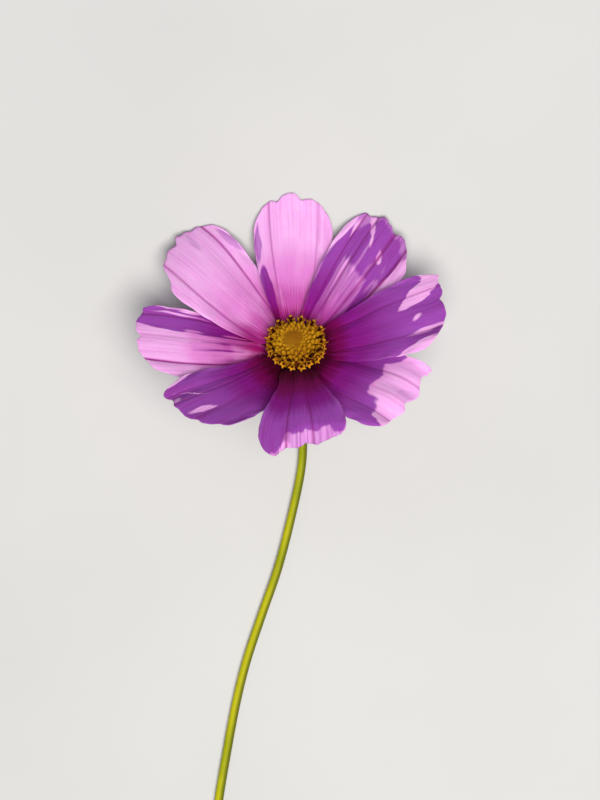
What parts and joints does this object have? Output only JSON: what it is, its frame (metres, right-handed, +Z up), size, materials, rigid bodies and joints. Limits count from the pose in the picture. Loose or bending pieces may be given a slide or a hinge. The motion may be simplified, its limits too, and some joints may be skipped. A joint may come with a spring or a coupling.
{
  "type": "cosmos flower",
  "caption": "Cut cosmos flower lying on a surface: pink daisy-like head with broad toothed petals, golden disc, green bracts and a slender bare stem.",
  "frame": {"origin": "middle of the underside of the flower's bounding box, on the surface that it lies on", "axes": "+Z up from the surface; -Y along the stem to its cut end, so the head is at +Y and faces up and towards +Y"},
  "size_m": [0.0734, 0.1735, 0.0445],
  "materials": {
    "petal": "soft matte, fine lengthwise veins, magenta towards the base",
    "disc": "granular golden florets with dark anthers",
    "inner_bract": "thin, papery, satin",
    "outer_bract": "satin green",
    "stem": "smooth satin yellow-green"
  },
  "bodies": {
    "root": {"petal_1": "petal", "petal_2": "petal", "petal_3": "petal", "petal_4": "petal", "petal_5": "petal", "petal_6": "petal", "petal_7": "petal", "petal_8": "petal", "disc": "disc", "inner_bracts": "inner_bract", "outer_bracts": "outer_bract", "stem": "stem"}
  },
  "joints": []
}
